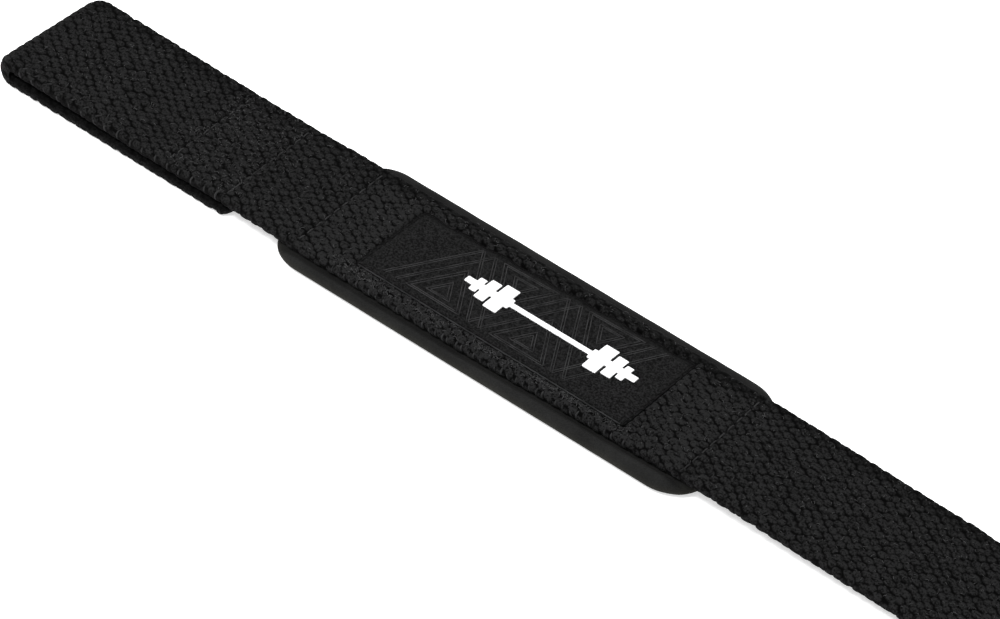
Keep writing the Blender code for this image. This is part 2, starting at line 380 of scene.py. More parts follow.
def noise(tree, place, scale, detail, roughness):
    node = put(tree, "ShaderNodeTexNoise", Scale=scale, Detail=detail, Roughness=roughness, Vector=place)
    return node.outputs["Fac"]


def rescaled(tree, value, low, high, new_low, new_high):
    """The value taken smoothly from one range to another."""
    node = put(tree, "ShaderNodeMapRange", {"interpolation_type": "SMOOTHSTEP"}, Value=value)
    for name, number in (("From Min", low), ("From Max", high), ("To Min", new_low), ("To Max", new_high)):
        node.inputs[name].default_value = number
    return node.outputs["Result"]


def yarn_bumps(tree, lattice):
    """Height, random tone and offset of the nearest yarn bump, for a shader or a geometry tree."""
    heights, tones, offsets = [], [], []
    for shift in (0.0, 0.5):
        place = vector_calc(tree, "ADD", lattice, (shift, shift, 0.0))
        centre = vector_calc(tree, "FLOOR", vector_calc(tree, "ADD", place, (0.5, 0.5, 0.0)))
        cell = vector_calc(tree, "ADD", centre, (0.0, 0.0, WEAVE_SEED + 2 * shift))
        random = put(tree, "ShaderNodeTexWhiteNoise", {"noise_dimensions": "3D"}, Vector=cell)
        stray = vector_calc(tree, "SUBTRACT", random.outputs["Color"], (0.5, 0.5, 0.5))
        stray = vector_calc(tree, "MULTIPLY", stray, (BUMP_JITTER, BUMP_JITTER, 0.0))
        offset = vector_calc(tree, "SUBTRACT", vector_calc(tree, "SUBTRACT", place, centre), stray)
        along = vector_calc(tree, "DOT_PRODUCT", offset, (1 / BUMP_REACH_ALONG, 0.0, 0.0))
        lean = (-BUMP_LEAN / BUMP_REACH_ACROSS, 1 / BUMP_REACH_ACROSS, 0.0)
        across = vector_calc(tree, "DOT_PRODUCT", offset, lean)
        squares = [calc(tree, "MULTIPLY", part, part) for part in (along, across)]
        spread = calc(tree, "POWER", calc(tree, "ADD", *squares), BUMP_SQUARENESS)
        dome = calc(tree, "SQRT", calc(tree, "MAXIMUM", calc(tree, "SUBTRACT", 1.0, spread), 0.0))
        weight = calc(tree, "MULTIPLY_ADD", random.outputs["Value"], -BUMP_UNEVENNESS, 1.0)
        heights.append(calc(tree, "MULTIPLY", dome, weight))
        tones.append(random.outputs["Value"])
        offsets.append(offset)
    second = calc(tree, "GREATER_THAN", heights[1], heights[0])
    tone = put(tree, "ShaderNodeMix", {"data_type": "FLOAT"})
    for index, value in ((0, second), (2, tones[0]), (3, tones[1])):
        fill(tree, tone.inputs[index], value)
    nearest = put(tree, "ShaderNodeMix", {"data_type": "VECTOR"})
    for index, value in ((0, second), (4, offsets[0]), (5, offsets[1])):
        fill(tree, nearest.inputs[index], value)
    return calc(tree, "MAXIMUM", *heights), tone.outputs[0], nearest.outputs[1]


# Geometry node trees

def new_geometry_tree(name, sockets):
    """An empty tree that takes and gives geometry, with these further inputs."""
    tree = bpy.data.node_groups.new(name, "GeometryNodeTree")
    tree.interface.new_socket("Geometry", in_out="INPUT", socket_type="NodeSocketGeometry")
    for label, kind in sockets:
        tree.interface.new_socket(label, in_out="INPUT", socket_type=kind)
    tree.interface.new_socket("Geometry", in_out="OUTPUT", socket_type="NodeSocketGeometry")
    return tree, put(tree, "NodeGroupInput"), put(tree, "NodeGroupOutput")


def finish_tree(tree, source, geometry, sink):
    """Ends a tree with smooth shading, real geometry and its material."""
    smooth = put(tree, "GeometryNodeSetShadeSmooth", Geometry=geometry)
    real = put(tree, "GeometryNodeRealizeInstances", Geometry=smooth.outputs[0])
    material = source.outputs["Material"]
    painted = put(tree, "GeometryNodeSetMaterial", Geometry=real.outputs[0], Material=material)
    fill(tree, sink.inputs[0], painted.outputs[0])
    return tree


def woven_tree():
    """Raises yarn bumps on a smooth core, along its stored outward direction."""
    sockets = (("Bump height", "NodeSocketFloat"), ("Material", "NodeSocketMaterial"))
    tree, source, sink = new_geometry_tree("woven relief", sockets)
    lattice, outward, relief = (
        put(tree, "GeometryNodeInputNamedAttribute", {"data_type": kind}, Name=name).outputs[0]
        for name, kind in (("lattice", "FLOAT_VECTOR"), ("outward", "FLOAT_VECTOR"), ("relief", "FLOAT"))
    )
    height, _, _ = yarn_bumps(tree, lattice)
    raised = calc(tree, "MULTIPLY", calc(tree, "MULTIPLY", height, relief), source.outputs["Bump height"])
    step = put(tree, "ShaderNodeVectorMath", {"operation": "SCALE"}, Vector=outward, Scale=raised)
    moved = put(tree, "GeometryNodeSetPosition", Geometry=source.outputs[0], Offset=step.outputs[0])
    return finish_tree(tree, source, moved.outputs[0], sink)


def thread_tree():
    """Turns guide lines into round closed threads."""
    sockets = (
        ("Thread radius", "NodeSocketFloat"),
        ("Sides", "NodeSocketInt"),
        ("Material", "NodeSocketMaterial"),
    )
    tree, source, sink = new_geometry_tree("thread along guides", sockets)
    lines = put(tree, "GeometryNodeMeshToCurve", Mesh=source.outputs[0])
    profile = put(
        tree,
        "GeometryNodeCurvePrimitiveCircle",
        Resolution=source.outputs["Sides"],
        Radius=source.outputs["Thread radius"],
    )
    tube = put(tree, "GeometryNodeCurveToMesh", Curve=lines.outputs[0], Profile_Curve=profile.outputs[0])
    tube.inputs["Fill Caps"].default_value = True
    return finish_tree(tree, source, tube.outputs[0], sink)


def grown(obj, tree, values):
    """Runs a tree on the object with these inputs, then keeps only the plain mesh that it makes."""
    modifier = obj.modifiers.new(tree.name, "NODES")
    modifier.node_group = tree
    for item in tree.interface.items_tree:
        if item.in_out == "INPUT" and item.name in values:
            modifier[item.identifier] = values[item.name]
    graph = bpy.context.evaluated_depsgraph_get()
    mesh = bpy.data.meshes.new_from_object(obj.evaluated_get(graph), depsgraph=graph)
    obj.modifiers.clear()
    obj.data = mesh
    mesh.name = obj.name
    return obj


def new_mesh(name, points, edges, faces):
    mesh = bpy.data.meshes.new(name)
    mesh.from_pydata(points, edges, faces)
    return mesh


def ring_corners(here, following):
    """The values at the four corners of each face between rings of values."""
    return np.stack((here[:-1], following[:-1], following[1:], here[1:]), axis=2)


def ring_faces(rings, around):
    """Faces between rings of points, then a flat cap at each end."""
    index = np.arange(rings * around).reshape(rings, around)
    quads = ring_corners(index, np.roll(index, -1, axis=1)).reshape(-1, 4)
    return quads.tolist() + [index[0][::-1].tolist(), index[-1].tolist()]


def linked_object(name, mesh):
    obj = bpy.data.objects.new(name, mesh)
    bpy.context.scene.collection.objects.link(obj)
    return obj


def threads(name, guides, radius, material, sides=8):
    """One piece made of a closed thread along each guide, a list of points."""
    points, edges = [], []
    for guide in guides:
        first = len(points)
        points += [tuple(point) for point in guide]
        edges += [(i, i + 1) for i in range(first, len(points) - 1)]
    obj = linked_object(name, new_mesh(name, points, edges, []))
    return grown(obj, THREAD_TREE, {"Thread radius": radius, "Sides": sides, "Material": material})


# Webbing shape

def plan_at(x):
    """The webbing's middle line and half width at these places."""
    along = (x - PAD_LOW.x) / PAD_LENGTH
    width = eased_rows([(row[0], row[1]) for row in PLAN_ROWS], along)
    sideways = eased_rows([(row[0], row[2]) for row in PLAN_ROWS], along)
    return WEB_MIDDLE_Y + sideways * WEB_WIDTH, width * CORE_HALF_WIDTH


def upper_height(x):
    """Height of the upper ply's middle."""
    rows = [
        (FOLD_CENTRE_X, LOOP_HEIGHT),
        (SEWN_START_X, SEWN_HEIGHT),
        (RETURN_END_X, SEWN_HEIGHT),
        (PAD_LOW.x, OVER_PAD_HEIGHT),
    ]
    drop = OVER_PAD_HEIGHT - PEAK_HALF_DEPTH
    for along, height in TAIL_ROWS:
        rows.append((PAD_HIGH.x + along * (TAIL_END_X - PAD_HIGH.x), PEAK_HALF_DEPTH + height * drop))
    return eased_rows(rows, x)


def seam_share(x, y):
    """1 in the middle of a cross seam, easing to 0 beside it and towards the webbing's edges."""
    fade = eased((WEB_WIDTH / 2 - np.abs(y - WEB_MIDDLE_Y)) / SEAM_FADE)
    return fade * np.max([hump(x - seam - SEAM_SKEW * y, SEAM_REACH) for seam in SEAMS_X], axis=0)


def patch_far_y(x):
    share = (x - PATCH_LOW.x) / (PATCH_HIGH.x - PATCH_LOW.x)
    return PATCH_HIGH.y - PATCH_FAR_SKEW * (1 - share)


def outside_patch(x, y):
    """How far these places lie outside the patch, negative inside it."""
    beside = np.maximum(PATCH_LOW.y - y, y - patch_far_y(x))
    beyond = np.maximum(PATCH_LOW.x - x, x - PATCH_HIGH.x)
    return np.maximum(beside, beyond)


def swell(x, y):
    """How far the core's outer face is sewn down in the seams and under the patch, and bulges round it."""
    away = outside_patch(x, y)
    under_patch = eased(-away / PRESS_FADE + 0.4)
    bulge = hump(away - BULGE_PLACE, BULGE_REACH) * (1 - under_patch)
    bulge *= BULGE_MM + BULGE_FAR_GAIN_MM * eased(y / BULGE_FADE)
    return MM * (bulge - PRESS_MM * under_patch) - SEAM_DEPTH * seam_share(x, y)


def web_top(x, y):
    """Height of the core's upper face."""
    return upper_height(x) + CORE_HALF_DEPTH + swell(x, y)


def fold_setback(x, across, half_width):
    """How far the fold's skew and its rounded corners draw a point back along the strap."""
    past = np.clip(np.abs(across) - (half_width - FOLD_CORNER), 0.0, FOLD_CORNER)
    depth = FOLD_CORNER - np.sqrt(FOLD_CORNER**2 - past**2)
    depth += FOLD_SKEW * (across / half_width + 1) / 2
    return depth * (1 - eased((x - FOLD_FACE_X) / FOLD_FADE))


def narrowing_at_end(distance):
    """How far each edge is drawn in by the rounded corners, this far from a cut end."""
    inside = np.clip(END_CORNER - distance, 0.0, END_CORNER)
    return END_CORNER - np.sqrt(END_CORNER**2 - inside**2)


def band_stations():
    """Sections of the band from the free end round the fold to the return end, one row each:
    x, height, turn, distance to the cut end, and length run along the outer and the inner face."""
    rows = []
    outer = inner = 0.0

    def lay(x, z, turn, to_end, outer_step, inner_step):
        nonlocal outer, inner
        outer += outer_step
        inner += inner_step
        rows.append((x, z, turn, to_end, outer, inner))

    corners = (TAIL_END_X, PAD_END_SEAM_X, RETURN_SEAM_X, FOLD_CENTRE_X)
    breaks = []
    for start, end in zip(corners, corners[1:]):
        count = math.ceil((start - end) / FINE_STEP)
        step = (start - end) / count
        places = np.linspace(start, end, count + 1)[(1 if rows else 0):]
        for x, z in zip(places, upper_height(places)):
            lay(x, z, 0.0, TAIL_END_X - x, step, step)
        breaks.append(len(rows) - 1)
    lower = PEAK_HALF_DEPTH
    radius = (LOOP_HEIGHT - lower) / 2
    arc = math.pi / FOLD_STEPS
    for turn in np.arange(1, FOLD_STEPS) * arc:
        x = FOLD_CENTRE_X - radius * math.sin(turn)
        z = lower + radius * (1 + math.cos(turn))
        lay(x, z, turn, 1.0, arc * (radius + CORE_HALF_DEPTH), arc * (radius - CORE_HALF_DEPTH))
    count = math.ceil((RETURN_END_X - FOLD_CENTRE_X) / RETURN_STEP)
    for x in np.linspace(FOLD_CENTRE_X, RETURN_END_X, count + 1):
        lay(x, lower, math.pi, RETURN_END_X - x, RETURN_STEP, RETURN_STEP)
    return np.array(rows), breaks[:2]


def flat_rows(start, end, steps, out):
    """Rows of the section along a flat, between these shares of its half width."""
    return [(share, 0.0, out, 0.0, out) for share in np.linspace(start, end, steps, endpoint=False)]


def band_section():
    """Round the section from the middle of its inner face: share of the flat's half width, the sideways
    and outward reach in half depths, the normal's two parts, and the lattice cells run round it."""
    half = INNER_STEPS // 2
    flat = CORE_HALF_WIDTH - CORE_HALF_DEPTH
    rows = flat_rows(0, 1, half, -1.0)
    for side in (1, -1):
        for step in range(SELVEDGE_STEPS):
            angle = math.pi * (step / SELVEDGE_STEPS - 0.5)
            across, out = math.cos(angle), math.sin(angle)
            reach = (across**EDGE_SQUARENESS, math.copysign(abs(out) ** EDGE_SQUARENESS, out))
            normal = (across ** (2 - EDGE_SQUARENESS), math.copysign(abs(out) ** (2 - EDGE_SQUARENESS), out))
            size = math.hypot(*normal)
            rows.append((side, *(side * part for part in reach), *(side * part / size for part in normal)))
        if side == 1:
            rows += flat_rows(1, -1, OUTER_STEPS, 1.0)
    rows = np.array(rows + flat_rows(-1, 0, half, -1.0))
    across = rows[:, 0] * flat + rows[:, 1] * CORE_HALF_DEPTH
    out = rows[:, 2] * CORE_HALF_DEPTH
    closed = np.column_stack((np.append(across, across[0]), np.append(out, out[0])))
    run = np.concatenate(([0.0], np.cumsum(np.linalg.norm(np.diff(closed, axis=0), axis=1))))
    return rows, run / run[-1] * CELLS_AROUND


def wander(x, y, start):
    """Slow unevenness of the weave, as a share of a cell."""
    total = np.zeros(np.broadcast(x, y).shape)
    for size, along, across, phase in WANDER_WAVES:
        total += size * np.sin(2 * math.pi * (x / (along * MM) + y / (across * MM) + phase + start))
    return total


def band_painted_shade(x, turn, from_far, outward, normal_out, sewn):
    """Painted shade and light on the yarns, from their place, which way they face and how far they are sewn
    down.
    """
    wall = 1 - WALL_SHADE * eased(1.1 - normal_out) * (1 - FOLD_WALL_RELIEF * (turn > 0))
    far = eased((from_far + FAR_REACH) / FAR_REACH)
    facing = eased((0.35 - outward) / 0.8) * (x < RETURN_END_X)
    on_pad = eased((x - PAD_START_SEAM_X) / ON_PAD_FADE) * eased((PAD_END_SEAM_X - x) / ON_PAD_FADE)
    tone = wall * (1 - FAR_SHADE * far) * (1 - SEWN_SHADE * sewn) * (1 - FACING_SHADE * facing)
    return tone * (1 + on_pad * (ON_PAD_GAIN * (1 - far) - ON_PAD_FAR_LOSS * far))


def woven_band(name, stations, material):
    """One stretch of the webbing: a closed core with a lattice stored on it, then raised into yarns."""
    section, cells = band_section()
    share, sideways, outward, normal_side, normal_out = (section[:, i][None, :] for i in range(5))
    x, z, turn, to_end, outer_run, inner_run = (stations[:, i][:, None] for i in range(6))
    upper = turn == 0.0
    middle, half_width = plan_at(np.where(upper, x, FOLD_FACE_X))
    half_width = half_width - narrowing_at_end(to_end)
    across = share * (half_width - CORE_HALF_DEPTH) + sideways * CORE_HALF_DEPTH
    calm = np.maximum(hump(x - FOLD_FACE_X, CALM_REACH), np.abs(share) * (1 - np.abs(outward)))
    full = CORE_HALF_DEPTH + CALM_FILL * BUMP_HEIGHT * calm
    thin = 1 - END_THINNING * hump(to_end, END_THINNING_REACH)
    out = outward * (full * thin + np.where(upper & (outward > 0), swell(x, middle + across), 0.0))
    points = np.empty((len(stations), len(section), 3))
    points[..., 0] = x - out * np.sin(turn)
    points[..., 0] += fold_setback(points[..., 0], across, half_width)
    points[..., 1] = middle + across
    points[..., 2] = z + out * np.cos(turn)
    normals = np.empty_like(points)
    normals[..., 0] = -normal_out * np.sin(turn)
    normals[..., 1] = normal_side
    normals[..., 2] = normal_out * np.cos(turn)
    run = np.where(outward >= 0, outer_run, inner_run)
    past_fold = eased((x - SKEW_FADE_START_X) / SKEW_FADE_LENGTH)
    skew = SKEW_AT_FOLD + (SKEW_PAST_LOOP - SKEW_AT_FOLD) * past_fold
    lattice_u = (run + skew * across) / CELL_LENGTH + wander(x, across, 0.0)
    lattice_v = cells[None, :-1] + 0.5 * wander(x, across, 0.3)
    sewn = np.where(upper, seam_share(x, middle + across), 0.0)
    relief = (1 - CALM_LOSS * calm) * (1 - SEWN_LOSS * sewn) * (1 - END_LOSS * hump(to_end, END_LOSS_REACH))
    tone = band_painted_shade(x, turn, across - half_width, outward, normal_out, sewn)
    lattice = np.stack((lattice_u, lattice_v, np.zeros_like(lattice_u)), axis=-1)
    obj = linked_object(name, ringed_mesh(name, points, lattice, cells))
    store(obj.data, "lattice", "FLOAT_VECTOR", lattice)
    store(obj.data, "outward", "FLOAT_VECTOR", normals)
    store(obj.data, "relief", "FLOAT", relief)
    # Painted shade and light, kept as the tone attribute.
    store(obj.data, "tone", "FLOAT", tone)
    return grown(obj, WOVEN_TREE, {"Bump height": BUMP_HEIGHT, "Material": material})


def store(mesh, name, kind, values):
    """Keeps values on the mesh's points under this name."""
    attribute = mesh.attributes.new(name, kind, "POINT")
    field = "vector" if kind == "FLOAT_VECTOR" else "value"
    attribute.data.foreach_set(field, np.ascontiguousarray(values, np.float32).ravel())


def ringed_mesh(name, points, lattice, cells):
    """A closed skin over rings of points with a flat cap at each end, and the lattice as its UV map."""
    mesh = new_mesh(name, points.reshape(-1, 3).tolist(), [], ring_faces(*points.shape[:2]))
    following = np.roll(lattice[..., :2], -1, axis=1)
    following[:, -1, 1] += cells[-1]
    corners = ring_corners(lattice[..., :2], following).reshape(-1, 2)
    uv = np.zeros((len(mesh.loops), 2), np.float32)
    uv[: len(corners)] = corners
    mesh.uv_layers.new(name="weave").data.foreach_set("uv", uv.ravel())
    return mesh


# Threads on the webbing

def stitch(start, end, top, rise, dip):
    """One stitch's guide: it comes up at the start, lies on top and goes down at the end."""
    start, end = np.array(start), np.array(end)
    lifts = [(0.0, -dip), *((along, share * rise) for along, share in STITCH_ROWS), (1.0, -dip)]
    guide = []
    for share, lift in lifts:
        x, y = start + (end - start) * share
        guide.append((x, y, float(top(x, y)) + lift))
    return guide


def stitches_along(start, end, top, length, gap, rise, dip):
    """Guides of a row of stitches from start to end."""
    start, end = np.array(start, float), np.array(end, float)
    total = np.linalg.norm(end - start)
    count = max(1, round(total / (length + gap)))
    step = (end - start) / count
    kept = length / (length + gap)
    return [stitch(start + step * i, start + step * (i + kept), top, rise, dip) for i in range(count)]


def seam_threads(material):
    """The stitches of the four cross seams."""
    guides = []
    for x in SEAMS_X:
        middle, half_width = plan_at(np.array([x]))
        near, far = middle[0] - half_width[0] + SEAM_MARGIN, middle[0] + half_width[0] - SEAM_MARGIN
        start, end = (x + SEAM_SKEW * near, near), (x + SEAM_SKEW * far, far)
        guides += stitches_along(start, end, web_top, *SEAM_STITCH)
    return threads("seam_stitches", guides, SEAM_THREAD_RADIUS, material)


def selvedge_curl(x, side, height, radius, hook):
    """A weft yarn's hooked turn round the webbing's edge."""
    middle, half_width = plan_at(np.array([x]))
    centre_y = middle[0] + side * (half_width[0] - CORE_HALF_DEPTH)
    guide = []
    for turn in np.linspace(0, 1, CURL_STEPS + 1):
        angle = math.radians(CURL_STARTS + (CURL_ENDS - CURL_STARTS) * turn)
        guide.append((
            x + hook * (2 * turn - 1) ** 2,
            centre_y + side * radius * math.cos(angle),
            height + radius * math.sin(angle),
        ))
    return guide


def selvedge_curls(material, random):
    """Weft turns along both edges of the loop's upper ply and, closer together, on the patch's near side."""
    guides = []
    radius = CORE_HALF_DEPTH + CURL_OUTSET
    on_loop = np.arange(FOLD_FACE_X + CURLS_FROM_FOLD, RETURN_END_X, CELL_LENGTH)
    patch_start, patch_end = PATCH_LOW.x - CURLS_PAST_PATCH, PATCH_HIGH.x + CURLS_PAST_PATCH
    beside_patch = np.arange(patch_start, patch_end, CELL_LENGTH / 2)
    for side, places in ((-1, np.concatenate((on_loop, beside_patch))), (1, on_loop)):
        for x in places:
            place = x + random.uniform(*CURL_STRAY_MM) * MM
            height = float(upper_height(np.array([place]))[0])
            wide = radius * random.uniform(*CURL_SIZES)
            guides.append(selvedge_curl(place, side, height, wide, random.uniform(*CURL_HOOKS_MM) * MM))
    return threads("selvedge_yarns", guides, CURL_YARN_RADIUS, material, 7)


def loose_fibres(material, random):
    """Short curled fibres that stand off the yarns, thickest beside the patch and round the loop's seams."""
    guides = []
    turn = np.linspace(0, 1, FIBRE_STEPS)
    for start, end, near, far, count in FIBRE_AREAS:
        for _ in range(count):
            x = random.uniform(start, end)
            middle, half_width = plan_at(np.array([x]))
            y = middle[0] + half_width[0] * random.uniform(near, far)
            if outside_patch(x, y) < FIBRE_OFF_PATCH:
                continue
            reach = random.uniform(*FIBRE_REACH_MM) * MM
            angle = random.uniform(0, 2 * math.pi) + turn * math.radians(random.uniform(*FIBRE_SWEEP))
            px, py = x + reach * np.cos(angle), y + reach * np.sin(angle)
            lift = random.uniform(*FIBRE_LIFT) * BUMP_HEIGHT + FIBRE_ARCH * (np.sin(math.pi * turn) - 0.6)
            guides.append(np.column_stack((px, py, web_top(px, py) + lift)))
    return threads("loose_fibres", guides, FIBRE_RADIUS, material, 4)


# Patch

def patch_place(along, across, inset=0.0):
    """The point on the patch at these shares of its length and width, drawn in by the inset."""
    x = PATCH_LOW.x + inset + along * (PATCH_HIGH.x - PATCH_LOW.x - 2 * inset)
    low, high = PATCH_LOW.y + inset, patch_far_y(x) - inset
    return x, low + across * (high - low)


def patch_top(x, y):
    """Height of the patch's upper face: low along its hem, pulled down by the stitches, puffed inside."""
    inside = -outside_patch(x, y)
    from_far = patch_far_y(x) - y
    from_end = np.minimum(x - PATCH_LOW.x, PATCH_HIGH.x - x)
    along_edge = np.where(from_end > np.minimum(y - PATCH_LOW.y, from_far), x, y)
    pucker = 0.6 + 0.4 * np.cos(2 * math.pi * along_edge / STITCH_PITCH)
    groove = HEM_GROOVE_DEPTH * hump(inside - HEM_SEAM_INSET, HEM_GROOVE_REACH) * pucker
    wave = TUCK_MM + TUCK_WAVE_MM * np.sin(2 * math.pi * x / TUCK_WAVE_LENGTH)
    tucked = eased(1 - from_far / TUCK_REACH) * wave
    rise = PATCH_EDGE_HEIGHT + PATCH_RISE * eased(inside / PATCH_HEM_WIDTH)
    return PATCH_LOW.z + rise - groove - MM * tucked


def rounded_square(along, across, corner_along, corner_across):
    """Takes shares of a rectangle to shares of one with round corners."""
    p = np.clip((np.abs(along - 0.5) - 0.5 + corner_along) / corner_along, 0, 1)
    q = np.clip((np.abs(across - 0.5) - 0.5 + corner_across) / corner_across, 0, 1)
    pull = np.where((p > 0) & (q > 0), np.maximum(p, q) / np.maximum(np.hypot(p, q), 1e-9), 1.0)
    along = along - np.sign(along - 0.5) * p * (1 - pull) * corner_along
    across = across - np.sign(across - 0.5) * q * (1 - pull) * corner_across
    return along, across


def patch_painted_shade(x, y):
    """Painted shade on the cloth: darker along its far edge, at its border and between its end stitches."""
    far, reach = PATCH_FAR_SHADE
    shaded = far * eased(1 - (patch_far_y(x) - y) / reach)
    border, reach = PATCH_BORDER_SHADE
    shaded += border * hump(-outside_patch(x, y), reach)
    end, reach = PATCH_END_SHADE
    between = 0.5 + 0.5 * np.cos(2 * math.pi * y / STITCH_PITCH)
    shaded += end * hump(np.minimum(x - PATCH_LOW.x, PATCH_HIGH.x - x), reach) * between
    return 1 - np.minimum(shaded, PATCH_MOST_SHADE)


def patch_cloth(material):
    length, width = PATCH_HIGH.x - PATCH_LOW.x, PATCH_HIGH.y - PATCH_LOW.y
    nx, ny = round(length / PATCH_STEP), round(width / PATCH_STEP)
    along, across = np.meshgrid(np.linspace(0, 1, nx + 1), np.linspace(0, 1, ny + 1), indexing="ij")
    along, across = rounded_square(along, across, PATCH_CORNER / length, PATCH_CORNER / width)
    x, y = patch_place(along, across)
    top = np.stack((x, y, patch_top(x, y)), axis=-1)
    base = np.stack((x, y, np.full_like(x, PATCH_LOW.z - PATCH_DEPTH)), axis=-1)
    index = np.arange((nx + 1) * (ny + 1)).reshape(nx + 1, ny + 1)
    count = index.size
    corners = (index[:-1, :-1], index[1:, :-1], index[1:, 1:], index[:-1, 1:])
    upper = np.stack(corners, axis=-1).reshape(-1, 4)
    lower = upper[:, ::-1] + count
    rim = np.concatenate((index[:-1, 0], index[-1, :-1], index[:0:-1, -1], index[0, :0:-1]))
    after = np.roll(rim, -1)
    wall = np.stack((rim + count, after + count, after, rim), axis=-1)
    points = np.concatenate((top.reshape(-1, 3), base.reshape(-1, 3)))
    faces = np.concatenate((upper, lower, wall)).tolist()
    mesh = new_mesh("patch_cloth", points.tolist(), [], faces)
    # Painted shade, kept as the tone attribute on top and base alike.
    store(mesh, "tone", "FLOAT", np.tile(patch_painted_shade(x, y).ravel(), 2))
    mesh.shade_smooth()
    mesh.set_sharp_from_angle(angle=math.radians(50))
    mesh.materials.append(material)
    return linked_object("patch_cloth", mesh)


def patch_stitches(material):
    """A row of stitches along each edge of the patch."""
    corners = [patch_place(a, b, HEM_SEAM_INSET) for a, b in ((0, 0), (1, 0), (1, 1), (0, 1))]
    guides = []
    for start, end in zip(corners, corners[1:] + corners[:1]):
        guides += stitches_along(start, end, patch_top, *HEM_STITCH)
    return threads("patch_stitches", guides, HEM_THREAD_RADIUS, material)


def patch_edge_roll(material):
    """The folded edge that shows as a fine roll along the patch's near side, its paler thread a painted
    highlight.
    """
    guide = []
    for along in np.linspace(0.01, 0.99, 120):
        x, y = patch_place(along, 0.0, EDGE_ROLL_INSET)
        rise = 0.05 * MM * math.cos(2 * math.pi * x / STITCH_PITCH)
        guide.append((x, y, float(patch_top(x, y)) + rise))
    return threads("patch_edge_roll", [guide], EDGE_ROLL_RADIUS, material)


def line_on_patch(corners):
    """A guide that runs straight from corner to corner, lying on the patch."""
    guide = []
    for start, end in zip(corners, corners[1:]):
        start, end = np.array(start), np.array(end)
        count = max(1, math.ceil(np.linalg.norm(end - start) / LINE_STEP))
        guide += [start + (end - start) * i / count for i in range(count)]
    guide.append(np.array(corners[-1]))
    return [(x, y, float(patch_top(x, y)) + RELIEF_LIFT) for x, y in guide]


def relief_lines(material):
    """Tone-on-tone ridges, their paler thread a painted highlight: the ribbon's double outlines, then the
    triangles.
    """
    guides = []
    bay = 1 / ZIGZAG_BAYS
    length = PATCH_HIGH.x - PATCH_LOW.x - 2 * RELIEF_INSET
    for shift in RIBBON_SHIFTS:
        turns = [((i + 0.5) * bay + shift / length, i % 2) for i in range(ZIGZAG_BAYS)]
        guides.append(line_on_patch([patch_place(a, b, RELIEF_INSET) for a, b in turns]))
    for i in range(1, ZIGZAG_BAYS - 1):
        centre, side = (i + 0.5) * bay, 1 - i % 2
        for scale in TRIANGLE_SCALES:
            base = 0.5 + (side - 0.5) * (0.98 - (TRIANGLE_SCALES[0] - scale) * 0.5)
            tip = base - (side - 0.5) * 2 * scale
            half = bay * scale * 1.04
            shape = ((centre - half, base), (centre, tip), (centre + half, base), (centre - half, base))
            guides.append(line_on_patch([patch_place(a, b, RELIEF_INSET) for a, b in shape]))
    return threads("patch_relief", guides, RELIEF_RADIUS, material, 6)


# Barbell

def barbell_half_height(share):
    """The barbell's half height at this share of its half length."""
    for starts, ends, height in BARBELL_ROWS:
        if starts <= share <= ends:
            return height
    return BARBELL_ROWS[-1][2]


def barbell_outline():
    """The barbell's outline from above with its corners rounded, as metres from its centre."""
    side = []
    for starts, ends, height in BARBELL_ROWS:
        side += [(share * FIGURE_HALF_LENGTH, height * FIGURE_HALF_HEIGHT) for share in (starts, ends)]
    side = side[1:]
    upper = side[::-1] + [(-x, y) for x, y in side]
    corners = [np.array(corner) for corner in upper + [(x, -y) for x, y in upper[::-1]]]
    outline = []
    for before, corner, after in zip(corners[-1:] + corners[:-1], corners, corners[1:] + corners[:1]):
        back, ahead = before - corner, after - corner
        cut = min(FIGURE_CORNER, 0.45 * np.linalg.norm(back), 0.45 * np.linalg.norm(ahead))
        start = corner + back / np.linalg.norm(back) * cut
        end = corner + ahead / np.linalg.norm(ahead) * cut
        for share in (0.0, 0.33, 0.67, 1.0):
            outline.append((1 - share) ** 2 * start + 2 * share * (1 - share) * corner + share**2 * end)
    return np.array(outline)


def barbell_body(material):
    """The barbell's crisp raised body, which the satin stitches cover."""
    outline = barbell_outline() + np.array(FIGURE_CENTRE.xy)
    level = float(patch_top(*FIGURE_CENTRE.xy))
    count = len(outline)
    points = [(x, y, height) for height in (level - BODY_SUNK, level + BODY_PROUD) for x, y in outline]
    faces = [list(range(count))[::-1], list(range(count, 2 * count))]
    faces += [(i, (i + 1) % count, (i + 1) % count + count, i + count) for i in range(count)]
    mesh = new_mesh("barbell_body", points, [], faces)
    mesh.materials.append(material)
    return linked_object("barbell_body", mesh)


def barbell_threads(material):
    """Satin stitches laid side by side across the barbell."""
    centre = FIGURE_CENTRE
    count = round(2 * FIGURE_HALF_LENGTH / SATIN_PITCH)
    guides = []
    for i in range(count):
        x = centre.x + FIGURE_HALF_LENGTH * (2 * (i + 0.5) / count - 1)
        height = barbell_half_height(abs(x - centre.x) / FIGURE_HALF_LENGTH)
        reach = FIGURE_HALF_HEIGHT * height - SATIN_INSET
        guide = []
        for share in np.linspace(-1, 1, 9):
            y = centre.y + reach * share
            arch = SATIN_LIFT + SATIN_ARCH * math.sqrt(max(0.0, 1 - share**4))
            guide.append((x, y, float(patch_top(x, y)) + arch))
        guides.append(guide)
    return threads("barbell_satin", guides, SATIN_RADIUS, material, 6)


# Pad

